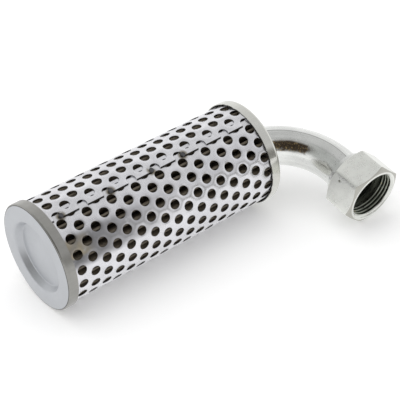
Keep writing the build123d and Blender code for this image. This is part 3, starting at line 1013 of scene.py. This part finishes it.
class FILTER_OT_element(bpy.types.Operator):
    """Pleated mesh, its core tube and the resin that holds them"""
    bl_idname = "filter.element"
    bl_label = "Filter element"

    def execute(self, context):
        colours = context.scene.filter_colours
        sizes = context.scene.filter_sizes
        low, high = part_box("pleated_mesh")
        cloth = woven_mesh(colours.mesh, VALLEY_RADIUS, (high.z - low.z) / 2)
        piece = pleats(sizes, cloth)
        wall = piece.modifiers.new("cloth", "SOLIDIFY")
        wall.thickness = CLOTH_THICKNESS
        wall.offset = -1
        applied(piece)
        smooth(piece, 60)
        piece.name = "pleats"
        settle(piece, cloth, "pleated_mesh")
        core = plain_finish("core_metal", CORE_GREY, 0.8, 0.4, 800, 0.00005)
        resin = plain_finish("cast_resin", colours.resin, 0.0, 0.5, 600, 0.00008)
        dress("core_tube", core)
        dress("blind_end_potting", resin)
        dress("open_end_potting", resin)
        return {"FINISHED"}


class FILTER_OT_tube(bpy.types.Operator):
    """Bent tube with its cone nipple and the nut's retaining wire"""
    bl_idname = "filter.tube"
    bl_label = "Bent tube"

    def execute(self, context):
        bright = bright_zinc(context.scene.filter_colours.tube, context.scene.filter_colours.tarnish)
        dress("elbow_tube", bright)
        dress("cone_nipple", turned_nipple(context.scene.filter_colours.tube))
        steel = plain_finish("wire_steel", WIRE_GREY, 0.9, 0.3, 900, 0.00003)
        dress("nut_retaining_wire", steel)
        return {"FINISHED"}


class FILTER_OT_nut(bpy.types.Operator):
    """Swivel nut with its thread and wire hole"""
    bl_idname = "filter.nut"
    bl_label = "Swivel nut"

    def execute(self, context):
        sizes = context.scene.filter_sizes
        metal = satin_zinc(context.scene.filter_colours.nut, sizes.thread_major,
                           sizes.across_flats / 2 * FACE_SHARE)
        piece = joined(nut_shell(sizes), thread(sizes, metal))
        drill_wire_hole(piece, sizes)
        smooth(piece, 28)
        piece.name = "threaded_nut"
        settle(piece, metal, "swivel_nut")
        return {"FINISHED"}


class FILTER_OT_stage(bpy.types.Operator):
    """Floor, lamps, the room that the metal reflects, and the camera"""
    bl_idname = "filter.stage"
    bl_label = "Stage"

    def execute(self, context):
        self.floor()
        self.world(context.scene)
        for name, place, width, power in LAMPS:
            self.lamp(name, Vector(place), width, power)
        self.camera(context.scene)
        context.scene.view_settings.view_transform = "Standard"
        return {"FINISHED"}

    def floor(self):
        work = bmesh.new()
        bmesh.ops.create_grid(work, x_segments=1, y_segments=1, size=FLOOR_WIDTH / 2)
        mesh = bpy.data.meshes.new("floor")
        work.to_mesh(mesh)
        work.free()
        piece = link_piece("floor", mesh)
        finish = Finish("pale_floor")
        grain = finish.noise(6, 2, 0.5)
        shown = seen_or_mirrored(finish)
        finish.set(Base_Color=finish.mix(grain, *FLOOR_TONES),
                   Roughness=0.9, Metallic=0.0, Emission_Strength=1.0, Specular_IOR_Level=0.0,
                   Emission_Color=finish.mix(shown, (0, 0, 0), (FLOOR_LIFT,) * 3))
        glow = finish.add("ShaderNodeEmission", None, {"Color": (*WHITE, 1.0), "Strength": 1.0})
        blend = finish.add("ShaderNodeMixShader", None,
                           {0: mirrored(finish) * FLOOR_IN_METAL, 1: finish.shader, 2: glow})
        finish.feed(finish.output.inputs["Surface"], blend)
        piece.data.materials.append(finish.material)

    def world(self, scene):
        world = bpy.data.worlds.new("studio")
        world.use_nodes = True
        scene.world = world
        tree = Tree(world.node_tree)
        world.node_tree.nodes.clear()
        facing = tree.add("ShaderNodeTexCoord").output("Generated")
        room = self.room_tone(tree, facing)
        strength = WORLD_FILL + seen_or_mirrored(tree) * (1 - WORLD_FILL)
        light = tree.add("ShaderNodeBackground", None,
                         {"Color": tree.mix(mirrored(tree), WHITE, room), "Strength": strength})
        output = tree.add("ShaderNodeOutputWorld")
        tree.feed(output.inputs["Surface"], light)

    def room_tone(self, tree, facing):
        """White all round, a little dimmer overhead, with soft darker places."""
        height = tree.add("ShaderNodeSeparateXYZ", None, {"Vector": facing}).output("Z")
        tone = tree.mix(height.between(0.15, 0.95), WHITE, shade(WHITE, 1 - OVERHEAD_DIM))
        for towards, near, far, colour in ROOM_SHADES:
            values = {0: facing, 1: tuple(Vector(towards).normalized())}
            closeness = tree.add("ShaderNodeVectorMath", {"operation": "DOT_PRODUCT"}, values, "Value")
            share = closeness.between(cos(radians(far)), cos(radians(near)))
            tone = tree.mix(share, tone, colour)
        return tone

    def aim(self, piece, place):
        target = Vector((0, 0, AXIS.z))
        turn = (target - place).to_track_quat("-Z", "Y")
        piece.matrix_world = Matrix.LocRotScale(place, turn, None)

    def lamp(self, name, place, width, power):
        data = bpy.data.lights.new(name, "AREA")
        data.shape = "SQUARE"
        data.size = width
        data.energy = power
        piece = bpy.data.objects.new(name, data)
        bpy.context.scene.collection.objects.link(piece)
        self.aim(piece, place)
        piece.visible_glossy = False

    def camera(self, scene):
        data = bpy.data.cameras.new("photo_camera")
        data.sensor_width = CAMERA_SENSOR
        data.lens = CAMERA_LENS
        data.clip_start = 0.01
        piece = bpy.data.objects.new("photo_camera", data)
        scene.collection.objects.link(piece)
        back = -CAMERA_FORWARD.normalized()
        right = CAMERA_UP.cross(back).normalized()
        turn = Matrix((right, back.cross(right), back)).transposed().to_4x4()
        turn.translation = CAMERA_PLACE
        piece.matrix_world = turn
        scene.camera = piece


PIECE_OPERATORS = (FILTER_OT_guard, FILTER_OT_welds, FILTER_OT_caps, FILTER_OT_element,
                   FILTER_OT_tube, FILTER_OT_nut, FILTER_OT_stage)


class FILTER_PT_panel(bpy.types.Panel):
    """Lists the steps that build the filter"""
    bl_idname = "FILTER_PT_panel"
    bl_label = "Suction filter"
    bl_space_type = "VIEW_3D"
    bl_region_type = "UI"
    bl_category = "Filter"

    def draw(self, context):
        for operator in PIECE_OPERATORS:
            self.layout.operator(operator.bl_idname)


CLASSES = (FilterSizes, FilterColours, *PIECE_OPERATORS, FILTER_PT_panel)


def register():
    for item in CLASSES:
        bpy.utils.register_class(item)
    bpy.types.Scene.filter_sizes = bpy.props.PointerProperty(type=FilterSizes)
    bpy.types.Scene.filter_colours = bpy.props.PointerProperty(type=FilterColours)


def unregister():
    del bpy.types.Scene.filter_colours
    del bpy.types.Scene.filter_sizes
    for item in reversed(CLASSES):
        bpy.utils.unregister_class(item)


def main():
    register()
    bpy.ops.filter.stage()
    bpy.ops.filter.guard()
    bpy.ops.filter.welds()
    bpy.ops.filter.caps()
    bpy.ops.filter.element()
    bpy.ops.filter.tube()
    bpy.ops.filter.nut()


if __name__ == "__main__":
    main()
